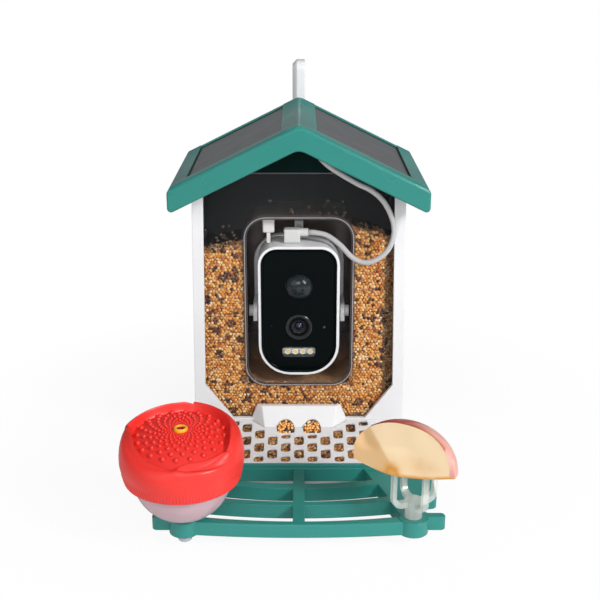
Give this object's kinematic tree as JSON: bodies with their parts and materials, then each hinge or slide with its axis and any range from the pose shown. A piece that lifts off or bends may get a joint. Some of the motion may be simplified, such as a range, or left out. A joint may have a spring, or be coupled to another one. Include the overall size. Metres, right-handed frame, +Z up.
{
  "type": "bird feeder",
  "caption": "House-shaped bird feeder with a solar roof, a camera in its window, a slotted seed tray, a perch, a nectar bowl and a fruit fork.",
  "frame": {"origin": "middle of the body's footprint, on the flat foot", "axes": "+Z up, -Y is the front with the window and the perch, +X is the right side seen from the front"},
  "size_m": [0.2375, 0.3358, 0.316],
  "materials": {
    "white_plastic": "fine satin moulded plastic",
    "green_plastic": "satin moulded plastic",
    "dark_green_plastic": "satin moulded plastic",
    "clear_plastic": "clear, lightly tinted and polished",
    "solar_glass": "dark laminated cells under a clear sheet",
    "steel": "bright plated",
    "seed": "loose mixed seed",
    "black_gloss": "black gloss",
    "smoked_dome": "smoked, softly glossy",
    "lens": "coated glass",
    "led_cover": "clear",
    "led": "pale yellow phosphor on a white strip",
    "circuit": "solder-masked board",
    "battery": "shrink-wrapped",
    "grey_rubber": "soft matte",
    "black_rubber": "soft matte",
    "white_cable": "soft satin jacket",
    "red_plastic": "satin",
    "yellow_plastic": "satin",
    "pink_clear": "translucent",
    "clear_fork": "clear moulded plastic",
    "apple": "moist fruit flesh with a red and yellow skin"
  },
  "bodies": {
    "housing": {"housing_shell": "white_plastic", "front_frame": "white_plastic", "window": "clear_plastic", "gable_panel": "dark_green_plastic", "cable_grommet": "black_rubber", "hinge_pin_front": "steel", "hinge_pin_rear": "steel", "base_pan": "white_plastic", "hopper_floor": "white_plastic", "hopper_seed": "seed", "tray_seed": "seed", "camera_bracket": "white_plastic", "pivot_screw_left": "white_plastic", "pivot_screw_right": "white_plastic", "bracket_screw": "steel", "solar_cable": "white_cable", "perch": "green_plastic", "perch_screw_left": "steel", "perch_screw_right": "steel", "back_plate": "white_plastic", "back_screw_low_left": "steel", "back_screw_low_right": "steel", "back_screw_high_left": "steel", "back_screw_high_right": "steel"},
    "roof": {"roof_shell": "green_plastic", "solar_panel_left": "solar_glass", "solar_panel_right": "solar_glass"},
    "deck": {"tray_deck": "white_plastic"},
    "camera": {"camera_shell": "white_plastic", "camera_face": "black_gloss", "pir_dome": "smoked_dome", "lens_barrel": "black_gloss", "lens_ring": "black_gloss", "lens_glass": "lens", "led_window": "led_cover", "floodlight_leds": "led", "camera_board": "circuit", "image_sensor": "circuit", "battery_cell_left": "battery", "battery_cell_right": "battery", "usb_plug": "white_plastic"},
    "cap": {"port_cap": "grey_rubber"},
    "nectar_feeder": {"nectar_bowl": "pink_clear"},
    "nectar_top": {"nectar_lid": "red_plastic", "nectar_port": "yellow_plastic"},
    "fork": {"fruit_fork": "clear_fork"},
    "apple": {"apple_wedge": "apple"},
    "hook": {"hanging_hook": "white_plastic", "hook_clip": "steel"}
  },
  "joints": [
    {"name": "roof_hinge", "type": "hinge", "parent": "housing", "child": "roof", "pos_m": [-0.0925, 0, 0.224], "axis": [0, -1, 0], "range_deg": [0, 95]},
    {"name": "hook_swivel", "type": "hinge", "parent": "housing", "child": "hook", "pos_m": [0, 0.074, 0.22], "axis": [0, 0, 1], "range_deg": [-90, 90]},
    {"name": "camera_tilt", "type": "hinge", "parent": "housing", "child": "camera", "pos_m": [0, -0.038, 0.124], "axis": [1, 0, 0], "range_deg": [-3, 10]},
    {"name": "port_cap_bend", "type": "hinge", "parent": "camera", "child": "cap", "pos_m": [-0.0245, -0.0448, 0.1845], "axis": [1, 0, 0], "range_deg": [-10, 45], "stiffness_Nm_per_rad": 0.01},
    {"name": "deck_lift", "type": "slide", "parent": "housing", "child": "deck", "axis": [0, 0, 1], "range_m": [0, 0.018]},
    {"name": "nectar_feeder_lift", "type": "slide", "parent": "housing", "child": "nectar_feeder", "axis": [0, 0, 1], "range_m": [0, 0.022]},
    {"name": "nectar_lid_twist", "type": "hinge", "parent": "nectar_feeder", "child": "nectar_top", "pos_m": [-0.0829, -0.1945, 0.08], "axis": [0, 0, 1], "range_deg": [0, 60]},
    {"name": "fruit_fork_lift", "type": "slide", "parent": "housing", "child": "fork", "axis": [0, 0, 1], "range_m": [0, 0.014]},
    {"name": "apple_lift", "type": "slide", "parent": "fork", "child": "apple", "axis": [0, 0, 1], "range_m": [0, 0.016]}
  ]
}
